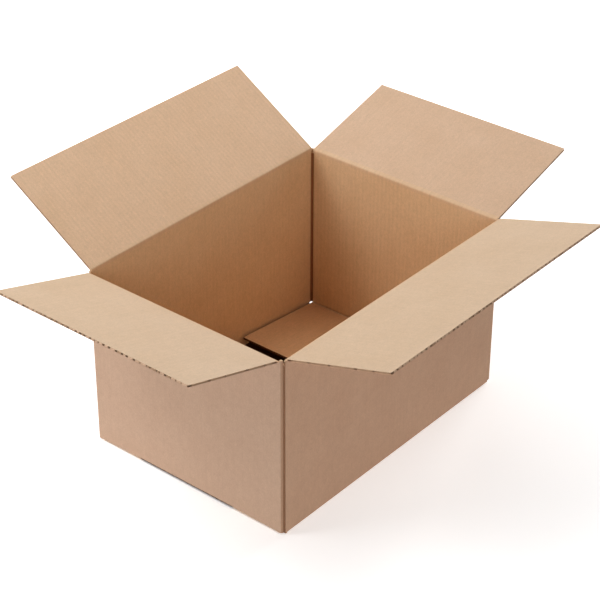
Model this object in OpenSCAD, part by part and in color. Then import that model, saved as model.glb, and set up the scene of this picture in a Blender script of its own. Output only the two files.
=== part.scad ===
// Slotted shipping carton of single-wall corrugated board, standing open.
// One sheet makes the four walls, the glue tab and the bottom flaps. The four top flaps
// swing about the creases along the tops of the walls: the short flaps shut first, and
// the long flaps shut over them and meet along the middle.
// Origin on the floor under the middle of the box, X along the long walls, Z up.

/* [Box] */
// Inside length, between the short walls
inner_length = 430; // [300:5:600]
// Inside width, between the long walls
inner_width = 310; // [200:5:400]
// Height of the long walls' top creases above the floor
crease_height = 253; // [120:1:500]

/* [Board] */
// Thickness of the corrugated board
board_t = 3; // [2:0.25:5]
// Thickness of each of the three papers in the board
paper_t = 0.25; // [0.2:0.05:0.4]
// Distance from one flute to the next
flute_pitch = 6.6; // [5:0.1:9]
// Width of the paper that lies flat at each flute's crest
flute_crest = 1.8; // [1.4:0.1:2.2]
// Inside radius of a folded edge
fold_in_r = 1; // [0.5:0.1:2]

/* [Slots and glued joint] */
// Half width of the slots between the top flaps, measured from the box's outer faces
top_slot = 4; // [3:0.5:8]
// Half width of the slots between the bottom flaps, measured from the box's outer faces
floor_slot = 7; // [5:0.5:12]
// Height of the bottom slots' ends above the floor
floor_slot_end = 5; // [4:0.5:8]
// Width of the glue tab inside the near long wall
tab_w = 35; // [20:1:60]
// Slant of the tab's ends over its width
tab_slant = 10; // [2:1:20]
// Distance of the near long wall's cut edge from the short wall's outer face
cut_edge_in = 2; // [0.5:0.1:3]
// Thickness of the glue between the tab and the near long wall
glue_t = 0.2; // [0.1:0.05:0.5]
// Width of the tab's margin that is left without glue
glue_margin = 4; // [2:0.5:10]

/* [Flaps] */
// Gap left along the middle where two long flaps meet
meet_gap = 1; // [0.5:0.5:6]
// Width of the band at the crease where the flutes are crushed shut
crease_band = 6; // [3:0.5:15]
// Angle of the near long top flap above level
near_long_angle = 17; // [-60:0.5:80]
// Angle of the far long top flap above level
far_long_angle = 32; // [-60:0.5:80]
// Angle of the near short top flap above level
near_short_angle = 16.5; // [-60:0.5:80]
// Angle of the far short top flap above level
far_short_angle = 15.5; // [-60:0.5:80]
// Angle by which the far short bottom flap has sprung up from the floor
sprung_angle = 5.3; // [0:0.1:8]

/* [Clearances] */
// Gap between flaps that lie one on the other
layer_gap = 0.3; // [0.2:0.05:1]
// How far a top flap's root stops short of its hinge line
root_gap = 0.5; // [0.3:0.05:0.8]
// How far a top flap's hinge line lies outside the wall's outer face
hinge_out = 0.2; // [0.1:0.05:0.4]

/* [Hidden] */
$fn = 64;

outer_length = inner_length + 2 * board_t;
outer_width = inner_width + 2 * board_t;
half_l = outer_length / 2;
half_w = outer_width / 2;
fold_r = fold_in_r + board_t;

// Straight run of an upright fold into the walls
fold_run = board_t / 2;

// Flap depth from the wall's outer face, the same on all eight flaps
flap_depth = half_w - meet_gap / 2;

// One board and a gap lower, so that the short flaps shut under the long ones
layer = board_t + layer_gap;
short_crease_height = crease_height - layer;
top_slot_end = short_crease_height - board_t - 2 * layer_gap;

// Walls as [turn, outer face's distance, crease height]
long_far = [0, half_w, crease_height];
short_near = [90, half_l, short_crease_height];
long_near = [180, half_w, crease_height];
short_far = [270, half_l, short_crease_height];

// Ends of the walls, from their middles. The near long wall ends in a cut edge at the glued
// corner. The near short wall folds round there to lie inside it, and ends a lap earlier.
lap = board_t + glue_t;
cut_edge = half_l - cut_edge_in;
long_folds = [-half_l + fold_r, half_l - fold_r];
joint_folds = [-half_l + fold_r, cut_edge];
short_folds = [-half_w + fold_r, half_w - fold_r];
lapped_folds = short_folds + [lap, 0];

kraft = "#c69c72";
kraft_inside = "#d8b48a";

// Ends of a flap on a wall with these ends, set back by a slot's half width
function long_span(slot) = [-half_l + slot, half_l - slot];
function joint_span(slot) = [-half_l + slot, min(half_l - slot, cut_edge)];
function short_span(slot) = [-half_w + slot, half_w - slot];
function lapped_span(slot) = short_span(slot) + [lap, 0];

// Turns a wall's own frame into place: X along the wall, Y outwards from its outer face
module at_wall(wall) {
    rotate([0, 0, wall[0]])
        translate([0, wall[1], 0])
            children();
}

// Extrudes a Y and Z profile along X, between the two ends
module along(ends) {
    translate([ends[0], 0, 0])
        rotate([90, 0, 90])
            linear_extrude(ends[1] - ends[0])
                children();
}

// Upright slab of board between two ends, from one height to another
module slab(ends, low, high) {
    translate([ends[0], -board_t, low])
        cube([ends[1] - ends[0], board_t, high - low]);
}

// Flat wall with the slots' ends at its corners and its top mitred for the flap
module wall_sheet(wall, folds, top, bottom) {
    crease = wall[2];
    difference() {
        union() {
            slab(top, floor_slot_end, crease);
            slab(bottom, fold_r, top_slot_end);
            slab([folds[0], bottom[0]], floor_slot_end, top_slot_end);
            slab([bottom[1], folds[1]], floor_slot_end, top_slot_end);
        }
        along([top[0] - board_t, top[1] + board_t])
            polygon([[0, crease], [-2 * board_t, crease - 2 * board_t], [-2 * board_t, crease]]);
    }
}

// Bottom fold and the flap beyond it. The flap is raised by a step behind the fold, to lie on
// other flaps, and it is tilted up from a kink near the fold.
module bottom_flap(bottom, step, tilt) {
    length = bottom[1] - bottom[0];
    kink = fold_r + board_t;
    translate([bottom[0], 0, 0]) {
        translate([0, -fold_r, fold_r])
            rotate([90, 0, 90])
                mirror([0, 1, 0])
                    rotate_extrude(angle = 90)
                        translate([fold_in_r, 0])
                            square([board_t, length]);
        translate([0, -fold_r - board_t / 2, 0])
            cube([length, board_t / 2, board_t + step]);
        translate([0, -kink, step]) {
            cube([length, kink - fold_r, board_t]);
            rotate([-tilt, 0, 0])
                translate([0, kink - flap_depth, 0])
                    cube([length, flap_depth - kink, board_t]);
        }
    }
}

// Upright fold from one height to another, about the given centre. It runs on straight for
// fold_run at both sides, inside the sheets that it joins.
module corner_fold(centre, turn, low, high) {
    height = high - low;
    translate([centre[0], centre[1], low])
        rotate([0, 0, turn]) {
            rotate_extrude(angle = 90)
                translate([fold_in_r, 0])
                    square([board_t, height]);
            translate([fold_in_r, -fold_run, 0])
                cube([board_t, fold_run, height]);
            translate([-fold_run, fold_in_r, 0])
                cube([fold_run, board_t, height]);
        }
}

// Fold and tab that run on from the near short wall, glued inside the near long wall
module glue_tab() {
    low = floor_slot_end;
    high = top_slot_end;
    root = -half_l + fold_r;
    tip = -half_l + tab_w;
    inside = -half_w + lap;
    outline = [
        [root, low],
        [root + fold_run, low],
        [tip, low + tab_slant],
        [tip, high - tab_slant],
        [root + fold_run, high],
        [root, high]
    ];
    corner_fold([root, inside + fold_r], 180, low, high);
    translate([0, inside + board_t, 0])
        rotate([90, 0, 0])
            linear_extrude(board_t)
                polygon(outline);
    translate([root + glue_margin, inside - lap / 2, low + tab_slant + glue_margin])
        cube([tip - root - 2 * glue_margin, lap, high - low - 2 * (tab_slant + glue_margin)]);
}

module carton() {
    color(kraft) {
        at_wall(long_far) {
            wall_sheet(long_far, long_folds, long_span(top_slot), long_span(floor_slot));
            bottom_flap(long_span(floor_slot), 0, 0);
        }
        at_wall(long_near) {
            wall_sheet(long_near, joint_folds, joint_span(top_slot), joint_span(floor_slot));
            bottom_flap(joint_span(floor_slot), 0, 0);
        }
        at_wall(short_near) {
            wall_sheet(short_near, lapped_folds, lapped_span(top_slot), lapped_span(floor_slot));
            bottom_flap(lapped_span(floor_slot), layer, 0);
        }
        at_wall(short_far) {
            wall_sheet(short_far, short_folds, short_span(top_slot), short_span(floor_slot));
            bottom_flap(short_span(floor_slot), layer, sprung_angle);
        }
        corner_fold([half_l - fold_r, half_w - fold_r], 0, floor_slot_end, top_slot_end);
        corner_fold([-half_l + fold_r, half_w - fold_r], 90, floor_slot_end, top_slot_end);
        corner_fold([half_l - fold_r, -half_w + fold_r], 270, floor_slot_end, top_slot_end);
        glue_tab();
    }
}

// Hollows of the fluted paper across a flap, seen on its free edge: they stand on the outer
// and the inner facing by turns
module flute_hollows(span) {
    half_pitch = flute_pitch / 2;
    core = board_t - 3 * paper_t;
    slope_run = half_pitch - flute_crest;
    slope_t = paper_t * sqrt(1 + pow(slope_run / core, 2));
    wide = flute_pitch - flute_crest - slope_t;
    narrow = flute_crest - slope_t;
    count = floor((span - wide) / half_pitch);
    first = (span - (count - 1) * half_pitch) / 2;
    for (i = [0 : count - 1])
        translate([first + i * half_pitch, i % 2 == 0 ? paper_t : board_t - paper_t])
            mirror([0, i % 2, 0])
                polygon([[-wide / 2, 0], [wide / 2, 0], [narrow / 2, core], [-narrow / 2, core]]);
}

// Top flap on a wall: its root is mitred to shut against the wall's top, and its flutes run
// out to the free edge
module top_flap(wall, ends, tilt) {
    reach = flap_depth + hinge_out;
    flute_start = root_gap + board_t + crease_band;
    at_wall(wall)
        translate([0, hinge_out, wall[2]])
            rotate([tilt, 0, 0])
                difference() {
                    along(ends)
                        polygon([[root_gap, 0], [reach, 0], [reach, board_t], [root_gap + board_t, board_t]]);
                    translate([ends[0], reach + board_t, 0])
                        rotate([90, 0, 0])
                            linear_extrude(reach + board_t - flute_start)
                                flute_hollows(ends[1] - ends[0]);
                }
}

module long_flap_near() {
    color(kraft_inside)
        top_flap(long_near, joint_span(top_slot), near_long_angle);
}

module long_flap_far() {
    color(kraft_inside)
        top_flap(long_far, long_span(top_slot), far_long_angle);
}

module short_flap_near() {
    color(kraft_inside)
        top_flap(short_near, lapped_span(top_slot), near_short_angle);
}

module short_flap_far() {
    color(kraft_inside)
        top_flap(short_far, short_span(top_slot), far_short_angle);
}

carton();
long_flap_near();
long_flap_far();
short_flap_near();
short_flap_far();
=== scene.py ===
import math
import random

import bpy
from mathutils import Matrix, Vector


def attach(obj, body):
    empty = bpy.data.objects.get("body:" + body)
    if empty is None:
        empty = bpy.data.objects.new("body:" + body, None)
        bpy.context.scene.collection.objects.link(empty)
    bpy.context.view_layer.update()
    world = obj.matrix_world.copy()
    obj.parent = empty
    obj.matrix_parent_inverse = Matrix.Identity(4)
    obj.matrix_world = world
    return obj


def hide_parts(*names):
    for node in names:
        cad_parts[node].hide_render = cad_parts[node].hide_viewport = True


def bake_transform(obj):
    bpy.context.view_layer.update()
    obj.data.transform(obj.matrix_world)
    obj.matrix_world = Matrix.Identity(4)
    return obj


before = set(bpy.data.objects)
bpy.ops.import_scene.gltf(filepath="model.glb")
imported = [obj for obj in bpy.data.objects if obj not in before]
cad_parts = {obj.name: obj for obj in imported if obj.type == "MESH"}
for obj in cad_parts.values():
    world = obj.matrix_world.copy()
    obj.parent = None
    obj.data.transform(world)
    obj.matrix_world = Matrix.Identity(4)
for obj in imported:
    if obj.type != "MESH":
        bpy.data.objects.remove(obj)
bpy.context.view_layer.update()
mm = 0.001
hair = 0.1  # mm of play in the tests that pick faces and points
fluteSpacing = 6.6  # mm from one flute to the next
boardThick = 3.0  # mm
outerX, outerY = 218.0, 158.0  # mm, outer faces of the short and of the long walls
innerX, innerY = 215.0, 155.0  # mm, their inner faces
foldX, foldY = 214.0, 154.0  # mm, where the upright folds begin

print("stage: helpers")


def linear(hexColour):  # sRGB hex to linear colour
    channels = [int(hexColour[i:i + 2], 16) / 255 for i in (1, 3, 5)]
    return [c / 12.92 if c <= 0.04045 else ((c + 0.055) / 1.055) ** 2.4 for c in channels] + [1.0]


def addNode(tree, kind, settings=None, links=None):  # settings: attributes or inputs; links: input to output socket
    node = tree.nodes.new(kind)
    for key, value in (settings or {}).items():
        if isinstance(key, str) and hasattr(node, key):
            setattr(node, key, value)
        else:
            node.inputs[key].default_value = value
    for key, socket in (links or {}).items():
        tree.links.new(socket, node.inputs[key])
    return node


def letGo():  # nothing selected, object mode
    if bpy.context.object and bpy.context.object.mode != "OBJECT":
        bpy.ops.object.mode_set(mode="OBJECT")
    bpy.ops.object.select_all(action="DESELECT")


def takeUp(piece):  # only this piece selected and active
    letGo()
    piece.select_set(True)
    bpy.context.view_layer.objects.active = piece


def pickFaces(piece, test):  # edit mode with the faces that pass the test selected
    bpy.ops.object.mode_set(mode="EDIT")
    bpy.ops.mesh.select_mode(type="FACE")
    bpy.ops.mesh.select_all(action="DESELECT")
    bpy.ops.object.mode_set(mode="OBJECT")
    for face in piece.data.polygons:
        face.select = bool(test(face))
    bpy.ops.object.mode_set(mode="EDIT")


def pickPoints(piece, test):  # edit mode with the points that pass the test selected
    bpy.ops.object.mode_set(mode="EDIT")
    bpy.ops.mesh.select_mode(type="VERT")
    bpy.ops.mesh.select_all(action="DESELECT")
    bpy.ops.object.mode_set(mode="OBJECT")
    for point in piece.data.vertices:
        point.select = bool(test(point.co))
    bpy.ops.object.mode_set(mode="EDIT")


def cutFaces(piece, test, place, across):  # the faces that pass are cut by a plane, its place in mm
    pickFaces(piece, test)
    bpy.ops.mesh.bisect(plane_co=[v * mm for v in place], plane_no=across)
    bpy.ops.object.mode_set(mode="OBJECT")


def pullFaces(piece, test, by, slot=None):  # the faces that pass are extruded, by mm, and take the slot's paper
    pickFaces(piece, test)
    bpy.ops.mesh.extrude_region_move(TRANSFORM_OT_translate={"value": [v * mm for v in by]})
    if slot is not None:
        piece.active_material_index = slot
        bpy.ops.object.material_slot_assign()
    bpy.ops.object.mode_set(mode="OBJECT")


def paintFaces(piece, test, slot):  # the faces that pass take the slot's paper
    pickFaces(piece, test)
    piece.active_material_index = slot
    bpy.ops.object.material_slot_assign()
    bpy.ops.object.mode_set(mode="OBJECT")


def shiftPoints(piece, test, by):  # the points that pass are moved, by mm
    pickPoints(piece, test)
    bpy.ops.transform.translate(value=[v * mm for v in by])
    bpy.ops.object.mode_set(mode="OBJECT")


def settle(piece, place):  # puts the piece in its place, with the place in its mesh
    takeUp(piece)
    piece.matrix_world = place
    bpy.ops.object.transform_apply(location=True, rotation=True, scale=True)


def wallPlace(turn, distance, height, tilt=0.0):  # wall's own frame: X along it, Y outwards, Z up
    return (
        Matrix.Rotation(math.radians(turn), 4, "Z")
        @ Matrix.Translation((0, distance * mm, height * mm))
        @ Matrix.Rotation(math.radians(tilt), 4, "X")
    )


def near(value, target, slack=0.06):  # metres against mm
    return abs(value / mm - target) < slack


print("stage: materials")

paperGrains = {  # mm across the flutes, mm along them, detail
    "tooth": (1.4, 2.4, 2.0),  # fibres are about 0.05 mm wide, too fine to show, so they are drawn this coarse
    "streaks": (3.5, 120.0, 3.0),
    "mottle": (7.0, 9.0, 2.0),
    "clouds": (60.0, 60.0, 4.0),
    "breaks": (25.0, 70.0, 2.0),  # where the flutes show through
}


def kraftLiner(name, tone, across):
    # Kraft linerboard: matt brown paper with fine tooth, clouds and long streaks of tone, and the flutes
    # beneath it show through as faint broken lines. across is the axis that runs over the flutes.
    material = bpy.data.materials.new(name)
    material.use_nodes = True
    tree = material.node_tree
    shader = tree.nodes["Principled BSDF"]
    shader.inputs["Specular IOR Level"].default_value = tone["sheen"]
    place = addNode(tree, "ShaderNodeTexCoord").outputs["Object"]
    grains = {}
    for grain, (sizeAcross, sizeAlong, detail) in paperGrains.items():
        scale = [1 / (sizeAlong * mm)] * 3
        scale["XY".index(across)] = 1 / (sizeAcross * mm)
        mapped = addNode(tree, "ShaderNodeMapping", {"Scale": scale}, {"Vector": place})
        noise = addNode(tree, "ShaderNodeTexNoise", {"Scale": 1.0, "Detail": detail, "Roughness": 0.6},
                        {"Vector": mapped.outputs["Vector"]})
        grains[grain] = noise.outputs["Fac"]
    lines = addNode(tree, "ShaderNodeTexWave", {
        "wave_type": "BANDS", "bands_direction": across, "wave_profile": "SIN",
        "Scale": math.pi / 10 / (fluteSpacing * mm), "Distortion": 0.8, "Detail": 2.0,
        "Detail Scale": 0.35, "Detail Roughness": 0.5}, {"Vector": place})
    broken = addNode(tree, "ShaderNodeMath", {"operation": "MULTIPLY"},
                     {0: lines.outputs["Fac"], 1: grains["breaks"]})
    grains["flutes"] = broken.outputs["Value"]
    clouds = addNode(tree, "ShaderNodeMix", {
        "data_type": "RGBA", 6: linear(tone["deep"]), 7: linear(tone["pale"])}, {0: grains["clouds"]})
    colour = clouds.outputs[2]
    for grain in ("tooth", "streaks", "mottle", "flutes"):  # each lightens and darkens the paper by its share
        share = addNode(tree, "ShaderNodeMapRange", {
            "From Min": 0.3, "From Max": 0.7, "To Min": 1 - tone[grain], "To Max": 1 + tone[grain],
            "clamp": False}, {"Value": grains[grain]})
        shaded = addNode(tree, "ShaderNodeVectorMath", {"operation": "SCALE"},
                         {0: colour, "Scale": share.outputs["Result"]})
        colour = shaded.outputs["Vector"]
    tree.links.new(colour, shader.inputs["Base Color"])
    rough = addNode(tree, "ShaderNodeMapRange", {"To Min": tone["rough"] - 0.1, "To Max": tone["rough"] + 0.1},
                    {"Value": grains["tooth"]})
    tree.links.new(rough.outputs["Result"], shader.inputs["Roughness"])
    waves = addNode(tree, "ShaderNodeBump", {"Strength": tone["waves"], "Distance": 0.1 * mm},
                    {"Height": grains["flutes"]})
    relief = addNode(tree, "ShaderNodeBump", {"Strength": 0.3, "Distance": 0.08 * mm},
                     {"Height": grains["tooth"], "Normal": waves.outputs["Normal"]})
    tree.links.new(relief.outputs["Normal"], shader.inputs["Normal"])
    return material


def flutingMedium(name, tone):
    # Fluting medium: rougher, greyer recycled paper, seen on edge in the cut board
    material = bpy.data.materials.new(name)
    material.use_nodes = True
    tree = material.node_tree
    shader = tree.nodes["Principled BSDF"]
    shader.inputs["Specular IOR Level"].default_value = 0.2
    shader.inputs["Roughness"].default_value = 0.95
    place = addNode(tree, "ShaderNodeTexCoord").outputs["Object"]
    specks = addNode(tree, "ShaderNodeTexNoise", {"Scale": 1 / (2.5 * mm), "Detail": 4.0, "Roughness": 0.65},
                     {"Vector": place})
    colour = addNode(tree, "ShaderNodeMix", {
        "data_type": "RGBA", 6: linear(tone["deep"]), 7: linear(tone["pale"])}, {0: specks.outputs["Fac"]})
    tree.links.new(colour.outputs[2], shader.inputs["Base Color"])
    tooth = addNode(tree, "ShaderNodeBump", {"Strength": 0.4, "Distance": 0.1 * mm},
                    {"Height": specks.outputs["Fac"]})
    tree.links.new(tooth.outputs["Normal"], shader.inputs["Normal"])
    return material


tones = {  # tooth, streaks, mottle and flutes: share of the tone; waves: height of the flutes under the paper
    "outer": {
        "pale": "#c2a38b", "deep": "#b99880", "tooth": 0.065, "streaks": 0.012, "mottle": 0.03,
        "flutes": 0.004, "waves": 0.04, "sheen": 0.3, "rough": 0.75, "panels": ("long", "short")},
    "inner": {
        "pale": "#debb93", "deep": "#d4ad82", "tooth": 0.08, "streaks": 0.018, "mottle": 0.036,
        "flutes": 0.009, "waves": 0.08, "sheen": 0.5, "rough": 0.65, "panels": ("long", "short")},
    # the box's floor: painted bounce light, the inner paper coloured warmer for the light the walls throw on it
    "floor": {
        "pale": "#e8ba8b", "deep": "#deac7b", "tooth": 0.08, "streaks": 0.018, "mottle": 0.036,
        "flutes": 0.008, "waves": 0.06, "sheen": 0.5, "rough": 0.65, "panels": ("short",)},
    # near flaps: the flaps' paper coloured paler and greyer, painted sheen where the light from behind grazes them
    "near flap": {
        "pale": "#d2b698", "deep": "#c7a886", "tooth": 0.07, "streaks": 0.016, "mottle": 0.026,
        "flutes": 0.005, "waves": 0.03, "sheen": 0.8, "rough": 0.65, "panels": ("long", "short")},
    # far flaps: the flaps' paper coloured warmer, painted bounce light from the inside of the box
    "far flap": {
        "pale": "#dcb896", "deep": "#d1aa84", "tooth": 0.08, "streaks": 0.016, "mottle": 0.028,
        "flutes": 0.017, "waves": 0.015, "sheen": 0.6, "rough": 0.65, "panels": ("long", "short")},
    "crease": {
        "pale": "#dcba97", "deep": "#d0aa84", "tooth": 0.05, "streaks": 0.04, "mottle": 0.02,
        "flutes": 0.01, "waves": 0.05, "sheen": 0.35, "rough": 0.65, "panels": ("long", "short")},
    "edge": {
        "pale": "#d0b195", "deep": "#b8957a", "tooth": 0.08, "streaks": 0.05, "mottle": 0.04,
        "flutes": 0.0, "waves": 0.0, "sheen": 0.15, "rough": 0.85, "panels": ("long", "short")},
    # painted shade for the bend beside the cut edge at the glued corner
    "bend": {
        "pale": "#b08d73", "deep": "#a68268", "tooth": 0.06, "streaks": 0.03, "mottle": 0.03,
        "flutes": 0.0, "waves": 0.0, "sheen": 0.2, "rough": 0.8, "panels": ("short",)},
    # painted shade in the upright scores at the corners, with the crushed paper's own darker tone
    "score": {
        "pale": "#a06c48", "deep": "#885838", "tooth": 0.05, "streaks": 0.03, "mottle": 0.03,
        "flutes": 0.0, "waves": 0.0, "sheen": 0.1, "rough": 0.85, "panels": ("long",)},
    # painted shade, for the cut edge's hollow and the last facets of the bend beside it
    "cut": {
        "pale": "#a57f62", "deep": "#8d674d", "tooth": 0.05, "streaks": 0.03, "mottle": 0.03,
        "flutes": 0.0, "waves": 0.0, "sheen": 0.1, "rough": 0.85, "panels": ("long",)},
    "gap": {
        "pale": "#5a3d2b", "deep": "#452e20", "tooth": 0.05, "streaks": 0.03, "mottle": 0.03,
        "flutes": 0.0, "waves": 0.0, "sheen": 0.0, "rough": 0.9, "panels": ("long",)},
}
panelTones = {  # where one pair of panels differs a little from the other
    # the long walls' redder outer tone: painted shade, for the near long flap shading the face below it
    ("outer", "long"): {"pale": "#c49f83", "deep": "#bb9478"},
    ("inner", "short"): {"flutes": 0.017},
    ("far flap", "short"): {"pale": "#d6b496", "deep": "#cba684", "flutes": 0.0065},
}
mediumTone = {"pale": "#b49476", "deep": "#96785f"}
overFlutes = {"long": "X", "short": "Y"}  # axis that runs over the flutes
liners = {}
for side, tone in tones.items():
    for walls in tone["panels"]:
        panelTone = {**tone, **panelTones.get((side, walls), {})}
        liners[side, walls] = kraftLiner("kraft liner " + side + " " + walls, panelTone, overFlutes[walls])
medium = flutingMedium("fluting medium", mediumTone)

print("stage: carton sheet")

cartonSettings = {
    "slotEnd": 246.1,  # mm, where the slots' cut ends stop
    "cornerCuts": (214.4, 154.4, 151.2),  # mm, clear of the shut flaps' sides, the last at the glued corner
    "slotRaise": 6.4,  # mm that the corners stand up from there
    "floorSlotEnd": 5.0,  # mm
    "floorSlot": 7.0,  # mm, half the floor slots' width, from the outer faces
    "dropStart": 200.0,  # mm from the middle, the corners by the near short wall lie beyond
    "slotDrop": 3.5,  # mm that those reach down from the floor slots' ends
    "cutEdge": -216.0,  # mm, the near long wall's cut edge
    "rawEdge": -214.2,  # mm, where it lies once it is drawn back to the flap's side
    "rawSkin": 0.2,  # mm of paper round the cut edge's hollow
    "rawDepth": 0.9,  # mm
    "shadedBend": ((-217.4, -215.2, -214.0), (-155.0, -150.8)),  # mm, X and Y of the bend beside the cut edge that takes painted shade
    "tabFold": -150.7,  # mm, the tab's fold lies beyond
    "scoreWide": 1.9,  # mm of each wall beside an upright score
    "scoreDeep": 1.0,  # mm
    "scoreFold": 1.02,  # mm, the folds' inner radius and a little play
    "footStart": 4.0,  # mm, where the near short wall's foot begins to bend in
    "footTop": 4.5,  # mm, its shaded faces lie below
    "footHalf": 149.0,  # mm each way from the middle
    "archSpans": ((-110.0, 105.0, 0.9), (-75.0, 82.0, 0.8)),  # mm, and the part of its height that the foot keeps
    "gapStart": 66.0,  # mm, the floor from there on lies under the sprung flap
    "sprungEdge": (50.0, 70.0),  # mm, the sprung flap's free edge lies between
    "sprungUnder": (5.0, 10.0),  # mm, its underside's middle is above the first, and within the second of Y 0
    "floorSpan": (212.0, 152.0),  # mm each way from the middle, the floor between the walls
    "floorTop": 40.0,  # mm, the floor's faces lie below
    "edgeTop": 8.0,  # mm, the bottom flaps' cut edges lie below
    "longFloorTop": 3.2,  # mm, the long bottom flaps lie below
    "underTop": 0.6,  # mm, the underside lies below
    "skinDeep": 1.1,  # mm, faces this close to the outer faces are on the outside
}

letGo()
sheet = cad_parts["carton"].copy()
sheet.data = sheet.data.copy()
sheet.name = "cartonSheet"
bpy.context.collection.objects.link(sheet)
sheet.parent = None
for key in list(sheet.keys()):
    del sheet[key]
takeUp(sheet)
bpy.ops.mesh.customdata_custom_splitnormals_clear()
bpy.ops.object.mode_set(mode="EDIT")
bpy.ops.mesh.select_all(action="SELECT")
bpy.ops.mesh.remove_doubles(threshold=0.002 * mm)
bpy.ops.mesh.dissolve_limited(angle_limit=math.radians(0.4))
bpy.ops.object.mode_set(mode="OBJECT")

cartonPapers = {
    "outerLong": liners["outer", "long"], "outerShort": liners["outer", "short"],
    "innerLong": liners["inner", "long"], "innerShort": liners["inner", "short"],
    "edge": liners["edge", "long"], "score": liners["score", "long"], "gap": liners["gap", "long"],
    "floor": liners["floor", "short"], "bend": liners["bend", "short"], "cut": liners["cut", "long"],
}
slotOf = {paper: slot for slot, paper in enumerate(cartonPapers)}
sheet.data.materials.clear()
for liner in cartonPapers.values():
    sheet.data.materials.append(liner)
for face in sheet.data.polygons:
    face.material_index = 0

# cut edge at the glued corner, flush with the flap's side
rawEdge = cartonSettings["rawEdge"]
shiftPoints(
    sheet, lambda p: near(p.x, cartonSettings["cutEdge"]) and p.y < (hair - innerY) * mm,
    (rawEdge - cartonSettings["cutEdge"], 0, 0))

# corners stand up to the creases between the slots
cutX, cutY, cutJoint = cartonSettings["cornerCuts"]


def onSlotEnd(face):
    return face.normal.z > 0.9 and near(face.center.z, cartonSettings["slotEnd"])


def onCorner(place):  # mm, beyond the shut flaps' sides
    besideLong = abs(place.y) > cutY or (place.x < 0 and place.y < -cutJoint)
    return abs(place.x) > cutX and besideLong


for cut in (cutX, -cutX):
    cutFaces(sheet, onSlotEnd, (cut, 0, 0), (1, 0, 0))
for cut in (cutY, -cutY, -cutJoint):
    cutFaces(sheet, onSlotEnd, (0, cut, 0), (0, 1, 0))
pullFaces(sheet, lambda f: onSlotEnd(f) and onCorner(f.center / mm), (0, 0, cartonSettings["slotRaise"]))


# and down to the floor at the left and the glued corner
def onFloorSlot(face):
    place = face.center / mm
    return (
        face.normal.z < -0.9 and near(face.center.z, cartonSettings["floorSlotEnd"])
        and place.x < -cartonSettings["dropStart"]
        and (place.x < cartonSettings["floorSlot"] - outerX or abs(place.y) > innerY - hair)
    )


pullFaces(sheet, onFloorSlot, (0, 0, -cartonSettings["slotDrop"]))


# near short wall's foot, bowed up from the floor
def inFoot(place):
    low = place.z < (cartonSettings["footStart"] - 0.05) * mm
    return low and place.x < (hair - foldX) * mm and abs(place.y) < cartonSettings["footHalf"] * mm


for low, high, keep in cartonSettings["archSpans"]:
    for cut in (low, high):
        cutFaces(sheet, lambda f: inFoot(f.center), (0, cut, 0), (0, 1, 0))
for low, high, keep in cartonSettings["archSpans"]:
    pickPoints(sheet, lambda p: inFoot(p) and low - hair < p.y / mm < high + hair)
    bpy.ops.transform.resize(value=(1, 1, keep), center_override=(0, 0, cartonSettings["footStart"] * mm))
    bpy.ops.object.mode_set(mode="OBJECT")

# hollow between the papers on the cut edge at the glued corner
skin, rawEnd = cartonSettings["rawSkin"], rawEdge + cartonSettings["rawDepth"]
pickFaces(sheet, lambda f: f.normal.x < -0.9 and near(f.center.x, rawEdge) and -outerY < f.center.y / mm < -innerY)
bpy.ops.mesh.inset(thickness=skin * mm)
bpy.ops.mesh.extrude_region_move(TRANSFORM_OT_translate={"value": (cartonSettings["rawDepth"] * mm, 0, 0)})
bpy.ops.object.mode_set(mode="OBJECT")
# its faces take the cut tone, painted shade in the hollow
paintFaces(
    sheet, lambda f: rawEdge + hair < f.center.x / mm < rawEnd + hair
    and skin - outerY < f.center.y / mm < -innerY - skin, slotOf["cut"])

# shaded papers in the gap under the sprung bottom flap
gapStart, (underZ, underY) = cartonSettings["gapStart"], cartonSettings["sprungUnder"]
cutFaces(sheet, lambda f: f.normal.z > 0.9 and near(f.center.z, boardThick), (gapStart, 0, 0), (1, 0, 0))


def inGap(face):
    place = face.center / mm
    above = face.normal.z < 0 and place.z > underZ and abs(place.y) < underY
    return abs(face.normal.z) > 0.9 and place.x > gapStart and (near(face.center.z, boardThick) or above)


paintFaces(sheet, inGap, slotOf["gap"])

# upright scores pressed into the walls at the three folded corners
wide, deep = cartonSettings["scoreWide"], cartonSettings["scoreDeep"]
for axis, wallFace, foldStart in ((0, innerX, foldY), (1, innerY, foldX)):
    for cut in (wide - foldStart, foldStart - wide):
        cutFaces(
            sheet, lambda f: abs(f.normal[axis]) > 0.9 and near(abs(f.center[axis]), wallFace),
            (cut * axis, cut * (1 - axis), 0), (axis, 1 - axis, 0))
for signX, signY in ((1, 1), (-1, 1), (1, -1)):
    def inScore(face):
        intoX = face.center.x / mm * signX - foldX
        intoY = face.center.y / mm * signY - foldY
        inwards = face.normal.x * signX * foldX + face.normal.y * signY * foldY < 0
        beside = -wide < min(intoX, intoY) and max(intoX, intoY) < cartonSettings["scoreFold"]
        return beside and abs(face.normal.z) < 0.1 and inwards

    # the pulled faces take the score tone, painted shade in the corner crease
    pullFaces(sheet, inScore, (deep * signX, deep * signY, 0), slotOf["score"])

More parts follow.
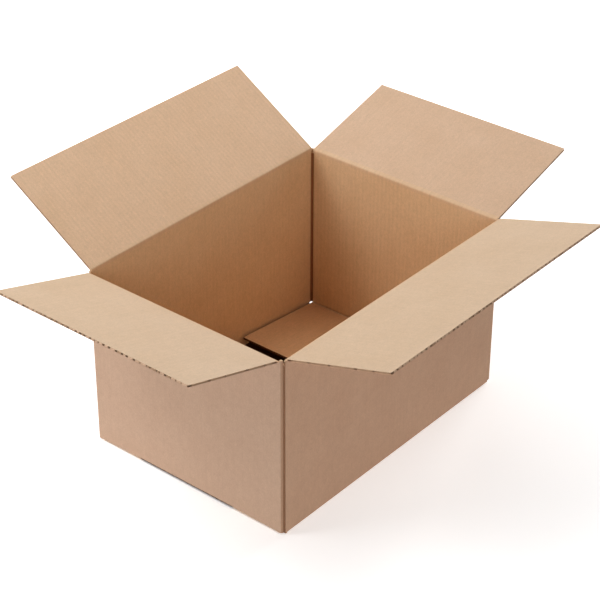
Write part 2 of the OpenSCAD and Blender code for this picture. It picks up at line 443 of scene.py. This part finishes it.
skinDeep, (bendX, bendY) = cartonSettings["skinDeep"], cartonSettings["shadedBend"]
footLow, footHigh = cartonSettings["archSpans"][-1][:2]
floorX, floorY = cartonSettings["floorSpan"]
sprungLow, sprungHigh = cartonSettings["sprungEdge"]
for face in sheet.data.polygons:
    if face.material_index:  # has its paper already
        continue
    normal, place = face.normal, face.center / mm
    isLong = abs(normal.y) > abs(normal.x)
    if abs(normal.z) > 0.7:
        isLong = place.z < cartonSettings["longFloorTop"] and abs(place.x) < floorX
    onTab = place.x < hair - foldX and place.y < cartonSettings["tabFold"]
    onSkin = abs(place.x) > outerX - skinDeep or abs(place.y) > outerY - skinDeep
    outside = onTab or onSkin or place.z < cartonSettings["underTop"]
    facesOut = any(normal[i] * place[i] > 0.3 * abs(place[i]) for i in (0, 1)) or normal.z < -0.3
    paper = ("outer" if outside and facesOut else "inner") + ("Long" if isLong else "Short")
    if bendX[0] < place.x < bendX[2] and bendY[0] < place.y < bendY[1] and normal.y < -0.3:
        paper = "bend" if place.x < bendX[1] else "cut"  # painted shade on the bend beside the cut edge, darkest on the facets next to it
    inside = abs(place.x) < floorX and abs(place.y) < floorY
    if inside and abs(normal.z) < 0.3 and place.z < cartonSettings["edgeTop"]:
        paper = "edge"  # cut edges of the bottom flaps
    if normal.x < -0.9 and sprungLow < place.x < sprungHigh:
        paper = "gap"  # shaded edge of the sprung flap
    onFoot = place.x < hair - foldX and place.z < cartonSettings["footTop"]
    if onFoot and footLow < place.y < footHigh and normal.z < -0.03:
        paper = "gap"  # shaded foot of the near short wall
    if inside and normal.z > 0.9 and place.z < cartonSettings["floorTop"]:
        paper = "floor"  # painted bounce light: the floor is coloured warmer in place of the light thrown back by the walls
    face.material_index = slotOf[paper]
bpy.ops.object.shade_smooth_by_angle(angle=math.radians(25))
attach(sheet, "carton")
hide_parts("carton")

print("stage: top flaps")

boardSettings = {
    "paper": 0.3,  # mm, each liner
    "rootMitre": 0.4,  # mm that the outer liner's root slants, like the wall's top
    "linerCells": (24, 10),  # faces along and across a liner
    "mediumPaper": 0.22,  # mm
    "waveSteps": 10,  # faces over one flute
    "fluteMargin": 1.0,  # mm of the flap's width left without flutes
    "fluteBack": 0.4,  # mm that the fluted paper stops short of the free edge
    "crushFree": {"long": (3.0, 8.0), "apart": (1.0, 4.0), "inset": 0.75},  # mm, crushed stretches of the free edge
    "shadedShare": {"long": 0.05, "short": 0.5},  # how many of those show the fluted paper's tone
    "crushSide": {"long": (14.0, 36.0), "apart": (2.0, 5.0), "inset": 1.2},  # mm, and of the sides
    "crushDeep": 1.3,  # mm
    "crushBevel": 0.15,  # mm
    "crushUneven": (-0.05, 0.15),  # mm that a stretch lies off its line
    "crushMargin": 2.0,  # mm left free at the corners
    "crushStart": 8.0,  # mm left free at the flap's root
}
flapSettings = {  # walls: which pair it hinges on; ends, distance, height and bend in mm, turn and tilt in degrees
    "longFlapNear": {
        "body": "long_flap_near", "walls": "long", "liner": "near flap", "ends": (-214.0, 214.0),
        "turn": 180, "distance": 158.2, "height": 253.0, "tilt": 17.0, "bend": 1.8},
    "longFlapFar": {
        "body": "long_flap_far", "walls": "long", "liner": "far flap", "ends": (-214.0, 214.0),
        "turn": 0, "distance": 158.2, "height": 253.0, "tilt": 32.0, "bend": 3.1},
    "shortFlapNear": {
        "body": "short_flap_near", "walls": "short", "liner": "near flap", "ends": (-150.8, 154.0),
        "turn": 90, "distance": 218.2, "height": 249.7, "tilt": 16.5, "bend": 1.8},
    "shortFlapFar": {
        "body": "short_flap_far", "walls": "short", "liner": "far flap", "ends": (-154.0, 154.0),
        "turn": 270, "distance": 218.2, "height": 249.7, "tilt": 15.5, "bend": 3.1},
}
flapReach = 157.7  # mm from hinge line to free edge
flapRoot = 0.5  # mm from hinge line to the flap's outer liner


def linerSheet(name, ends, start, level):  # one flat liner, its top face at the level
    letGo()
    wide, deep = ends[1] - ends[0], flapReach - start
    cellsAlong, cellsAcross = boardSettings["linerCells"]
    bpy.ops.mesh.primitive_grid_add(
        x_subdivisions=cellsAlong, y_subdivisions=cellsAcross, size=1.0,
        location=((ends[0] + ends[1]) / 2 * mm, (start + deep / 2) * mm, level * mm))
    liner = bpy.context.object
    liner.name = name
    liner.scale = (wide * mm, deep * mm, 1)
    bpy.ops.object.transform_apply(location=True, rotation=True, scale=True)
    solid = liner.modifiers.new("paper", "SOLIDIFY")
    solid.thickness = boardSettings["paper"] * mm
    solid.offset = -1
    bpy.ops.object.modifier_apply(modifier=solid.name)
    return liner


def fluteSheet(name, ends, start, stop, low, high):  # one flute is shaped, then repeated along the flap
    letGo()
    steps = boardSettings["waveSteps"]
    count = int((ends[1] - ends[0] - boardSettings["fluteMargin"]) / fluteSpacing)
    first = (ends[0] + ends[1] - count * fluteSpacing) / 2
    bpy.ops.mesh.primitive_grid_add(
        x_subdivisions=steps, y_subdivisions=1, size=1.0,
        location=((first + fluteSpacing / 2) * mm, (start + stop) / 2 * mm, (low + high) / 2 * mm))
    flutes = bpy.context.object
    flutes.name = name
    flutes.scale = (fluteSpacing * mm, (stop - start) * mm, 1)
    bpy.ops.object.transform_apply(location=True, rotation=True, scale=True)
    swing = (high - low - boardSettings["mediumPaper"]) / 2
    for step in range(steps + 1):
        column = first + fluteSpacing * step / steps
        lift = swing * math.cos(2 * math.pi * step / steps)
        shiftPoints(flutes, lambda p: near(p.x, column, 0.02), (0, 0, lift))
    rows = flutes.modifiers.new("flutes", "ARRAY")
    rows.count = count
    rows.use_relative_offset = False
    rows.use_constant_offset = True
    rows.constant_offset_displace = (fluteSpacing * mm, 0, 0)
    rows.use_merge_vertices = True
    rows.merge_threshold = 0.01 * mm
    bpy.ops.object.modifier_apply(modifier=rows.name)
    solid = flutes.modifiers.new("paper", "SOLIDIFY")
    solid.thickness = boardSettings["mediumPaper"] * mm
    solid.offset = 0
    bpy.ops.object.modifier_apply(modifier=solid.name)
    return flutes


def crushedEdge(name, ends, walls, seed):  # stretches where the cut has crushed the flutes shut
    letGo()
    chance = random.Random(seed)
    bpy.ops.mesh.primitive_cube_add(size=1.0, location=(0, 0, boardThick / 2 * mm))
    first = bpy.context.object
    # as high as the board, less most of both liners, so that it closes the space between them
    first.scale = (mm, boardSettings["crushDeep"] * mm, (boardThick - 1.6 * boardSettings["paper"]) * mm)
    bpy.ops.object.transform_apply(location=True, rotation=True, scale=True)
    bpy.ops.object.mode_set(mode="EDIT")
    bpy.ops.mesh.select_all(action="SELECT")
    bpy.ops.mesh.bevel(offset=boardSettings["crushBevel"] * mm, segments=1, affect="EDGES")
    bpy.ops.object.mode_set(mode="OBJECT")
    margin, root = boardSettings["crushMargin"], flapRoot + boardSettings["crushStart"]
    runs = (
        ("crushFree", ends[0] + margin, ends[1] - margin, flapReach, -1),
        ("crushSide", root, flapReach - margin, ends[0], 1),
        ("crushSide", root, flapReach - margin, ends[1], -1),
    )
    stretches = []
    for kind, low, high, line, inwards in runs:
        crush = boardSettings[kind]
        spot = low
        while spot < high - margin:
            stretch = first.copy()
            stretch.data = first.data.copy()
            shaded = kind == "crushSide" or chance.random() < boardSettings["shadedShare"][walls]
            stretch.data.materials.append(medium if shaded else liners["edge", walls])
            bpy.context.collection.objects.link(stretch)
            length = min(chance.uniform(*crush["long"]), high - spot)
            stretch.scale = (length, 1, 1)
            across = line + inwards * (crush["inset"] + chance.uniform(*boardSettings["crushUneven"]))
            if kind == "crushFree":
                stretch.location = ((spot + length / 2) * mm, across * mm, 0)
            else:
                stretch.location = (across * mm, (spot + length / 2) * mm, 0)
                stretch.rotation_euler = (0, 0, math.pi / 2)
            stretches.append(stretch)
            spot += length + chance.uniform(*crush["apart"])
    bpy.data.objects.remove(first)
    takeUp(stretches[0])
    for stretch in stretches:
        stretch.select_set(True)
    bpy.ops.object.transform_apply(location=True, rotation=True, scale=True)
    bpy.ops.object.join()
    stretches[0].name = name
    return stretches[0]


for seed, (name, flap) in enumerate(flapSettings.items()):
    paper, ends, walls = boardSettings["paper"], flap["ends"], flap["walls"]
    top = linerSheet(name, ends, flapRoot + boardThick, boardThick)
    under = linerSheet(name + "Under", ends, flapRoot, paper)
    shiftPoints(under, lambda p: near(p.y, flapRoot) and near(p.z, paper), (0, boardSettings["rootMitre"], 0))
    stop = flapReach - boardSettings["fluteBack"]
    flutes = fluteSheet(name + "Flutes", ends, flapRoot + boardThick, stop, paper, boardThick - paper)
    for liner in (liners[flap["liner"], walls], liners["outer", walls], medium):
        top.data.materials.append(liner)
    under.data.materials.append(liners["outer", walls])
    flutes.data.materials.append(medium)
    crushed = crushedEdge(name + "Crushed", ends, walls, seed)
    takeUp(top)
    for layer in (under, flutes, crushed):
        layer.select_set(True)
    bpy.ops.object.join()
    settle(top, wallPlace(flap["turn"], flap["distance"], flap["height"], flap["tilt"]))
    bpy.ops.object.shade_smooth_by_angle(angle=math.radians(30))
    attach(top, flap["body"])
    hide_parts(flap["body"])

print("stage: creases")

creaseSettings = {
    "steps": 12,  # faces over the bend
    "wallEnd": (-3.2, -3.0),  # mm, Y and Z of its end on the wall's inner face, from the hinge line
    "lip": 1.0,  # mm, ends that lie within this of the hinge line are drawn back to it
}

for name, flap in flapSettings.items():
    letGo()
    tilt = math.radians(flap["tilt"])
    radius = flap["bend"]  # mm of the inner liner about the hinge line
    root = flapRoot + boardThick  # mm, where the flap's inner liner begins
    wallY, wallZ = creaseSettings["wallEnd"]
    wide = flap["ends"][1] - flap["ends"][0]
    middle = (flap["ends"][0] + flap["ends"][1]) / 2
    bpy.ops.mesh.primitive_plane_add(size=1.0, location=(middle * mm, -radius / 2 * mm, 0))
    crease = bpy.context.object
    crease.name = name.replace("Flap", "Crease")
    crease.scale = (wide * mm, radius * mm, 1)
    bpy.ops.object.transform_apply(location=True, rotation=True, scale=True)
    # swept over the hinge line from the wall's side to the flap's
    pickFaces(crease, lambda f: True)
    bpy.ops.mesh.spin(steps=creaseSettings["steps"], angle=math.pi / 2 - tilt, center=(0, 0, 0), axis=(1, 0, 0))
    bpy.ops.object.mode_set(mode="OBJECT")
    # the flap's end runs out to the flap's mitred root
    outwards = Vector((0, math.cos(tilt), math.sin(tilt)))
    upwards = Vector((0, -math.sin(tilt), math.cos(tilt)))
    pullFaces(
        crease, lambda f: abs(f.normal.dot(outwards)) > 0.99 and near(f.center.dot(outwards), 0, 0.05),
        outwards * root + upwards * (boardThick - radius))
    shiftPoints(
        crease, lambda p: near(p.dot(outwards), root) and p.dot(upwards) < creaseSettings["lip"] * mm,
        upwards * (radius - boardThick) - outwards * boardThick)
    # the wall's end runs down to the wall's mitred top
    pullFaces(
        crease, lambda f: abs(f.normal.z) > 0.99 and near(f.center.z, 0, 0.05) and f.center.y < 0,
        (0, radius + wallY, wallZ))
    shiftPoints(
        crease, lambda p: near(p.z, wallZ) and p.y > -creaseSettings["lip"] * mm, (0, boardThick - radius, -wallZ))
    bpy.ops.object.mode_set(mode="EDIT")
    bpy.ops.mesh.select_all(action="SELECT")
    bpy.ops.mesh.remove_doubles(threshold=0.01 * mm)
    bpy.ops.mesh.normals_make_consistent(inside=False)
    bpy.ops.object.mode_set(mode="OBJECT")
    crease.data.materials.append(liners["crease", flap["walls"]])
    place = wallPlace(flap["turn"], flap["distance"], flap["height"])
    settle(crease, place)
    bpy.ops.object.shade_smooth_by_angle(angle=math.radians(35))
    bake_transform(crease)

print("stage: studio")

studio = {
    "camera": (-1595.2, -1324.0, 1455.7),  # mm
    "target": (-22.8, -20.7, 189.8),  # mm
    "lens": 113.75,  # mm
    "roll": 0.17,  # degrees
    "floorSize": 60.0,  # m
    "floorDrop": 0.0005,  # m below the box
    "floorGlow": 0.37,  # glow of the floor close to the box, though it is no lamp: painted light that lights the box in place of the light the floor gives back
    "glowFade": (0.2, 0.6),  # m from the middle
    "floorLift": 0.45,  # white added beside the box for the camera alone, full white farther off
    "liftFade": (0.6, 1.6),  # m from the middle
    "shadeHalf": (0.2035, 0.15),  # m each way, the floor in the box's own shade, which isn't lifted
    "shadeMiddle": -0.0135,  # m
    "lampAway": 2.5,  # m from the box
    "lampSize": 1.4,  # m
}

letGo()
bpy.ops.mesh.primitive_plane_add(size=studio["floorSize"], location=(0, 0, -studio["floorDrop"]))
floor = bpy.context.object
floor.name = "floor"
# Matt white table: no sheen, seen as white by the camera, and still dark where the box shades it
paleFloor = bpy.data.materials.new("matt white floor")
paleFloor.use_nodes = True
tree = paleFloor.node_tree
matt = tree.nodes["Principled BSDF"]
matt.inputs["Base Color"].default_value = linear("#f2f2f2")
matt.inputs["Roughness"].default_value = 1.0
matt.inputs["Specular IOR Level"].default_value = 0.0
path = addNode(tree, "ShaderNodeLightPath")
here = addNode(tree, "ShaderNodeTexCoord").outputs["Object"]
away = addNode(tree, "ShaderNodeVectorMath", {"operation": "LENGTH"}, {0: here}).outputs["Value"]
halfX, halfY = studio["shadeHalf"]
shade = addNode(tree, "ShaderNodeMapping", {
    "Scale": (1 / halfX, 1 / halfY, 0), "Location": (-studio["shadeMiddle"] / halfX, 0, 0)}, {"Vector": here})
shade = addNode(tree, "ShaderNodeVectorMath", {"operation": "ABSOLUTE"}, {0: shade.outputs["Vector"]})
shade = addNode(tree, "ShaderNodeSeparateXYZ", None, {0: shade.outputs["Vector"]})
shade = addNode(tree, "ShaderNodeMath", {"operation": "MAXIMUM"}, {0: shade.outputs["X"], 1: shade.outputs["Y"]})
beside = addNode(tree, "ShaderNodeMapRange", {
    "From Min": 0.995, "From Max": 1.005, "To Max": studio["floorLift"]}, {"Value": shade.outputs["Value"]})
beyond = addNode(tree, "ShaderNodeMapRange", {
    "From Min": studio["liftFade"][0], "From Max": studio["liftFade"][1], "To Max": 1 - studio["floorLift"]},
    {"Value": away})
lift = addNode(tree, "ShaderNodeMath", {"operation": "ADD"},
               {0: beside.outputs["Result"], 1: beyond.outputs["Result"]})
# the floor close to the box glows for all but the camera, painted light that falls on the box
bright = addNode(tree, "ShaderNodeMapRange", {
    "From Min": studio["glowFade"][0], "From Max": studio["glowFade"][1],
    "To Min": studio["floorGlow"], "To Max": 0.0}, {"Value": away})
seen = addNode(tree, "ShaderNodeMix", None, {
    0: path.outputs["Is Camera Ray"], 2: bright.outputs["Result"], 3: lift.outputs["Value"]})
glow = addNode(tree, "ShaderNodeEmission", {"Color": (1, 1, 1, 1)}, {"Strength": seen.outputs[0]})
both = addNode(tree, "ShaderNodeAddShader", None, {0: matt.outputs["BSDF"], 1: glow.outputs["Emission"]})
tree.links.new(both.outputs["Shader"], tree.nodes["Material Output"].inputs["Surface"])
floor.data.materials.append(paleFloor)

world = bpy.data.worlds.new("studio")
bpy.context.scene.world = world
world.use_nodes = True
tree = world.node_tree
path = addNode(tree, "ShaderNodeLightPath")
tree.links.new(path.outputs["Is Camera Ray"], tree.nodes["Background"].inputs["Strength"])
tree.nodes["Background"].inputs["Color"].default_value = (1, 1, 1, 1)

lampSettings = {  # degrees round from +X, degrees up, watts
    "rightLamp": (0, 8, 50.9),
    "leftLamp": (135, 50, 34.0),
    "leftLowLamp": (135, 8, 14.9),
    "frontLamp": (225, 8, 23.0),
    "frontHighLamp": (270, 50, 5.0),
    "sideLamp": (90, 50, 10.7),
    "backLamp": (45, 50, 7.0),
    "backLowLamp": (45, 25, 3.8),
    "topLamp": (0, 75, 9.2),
}
middle = Vector((0, 0, 0.15))  # m, where the lamps point
for name, (around, up, watts) in lampSettings.items():
    letGo()
    towards = Matrix.Rotation(math.radians(around), 3, "Z") @ Matrix.Rotation(math.radians(-up), 3, "Y")
    spot = middle + towards @ Vector((1, 0, 0)) * studio["lampAway"]
    spot.z = max(spot.z, studio["lampSize"] / 2 + 0.02)  # clear of the floor
    bpy.ops.object.light_add(type="AREA", location=spot)
    light = bpy.context.object
    light.name = name
    light.data.shape = "SQUARE"
    light.data.size = studio["lampSize"]
    light.data.energy = watts
    light.rotation_euler = (spot - middle).to_track_quat("Z", "Y").to_euler()

letGo()
eye = Vector(studio["camera"]) * mm
bpy.ops.object.camera_add(location=eye)
camera = bpy.context.object
aim = (Vector(studio["target"]) * mm - eye).to_track_quat("-Z", "Y").to_matrix()
camera.rotation_euler = (aim @ Matrix.Rotation(math.radians(studio["roll"]), 3, "Z")).to_euler()
camera.data.lens = studio["lens"]
camera.data.sensor_width = 36.0
bpy.context.scene.camera = camera
bpy.context.scene.view_settings.view_transform = "Standard"

print("stage: done")
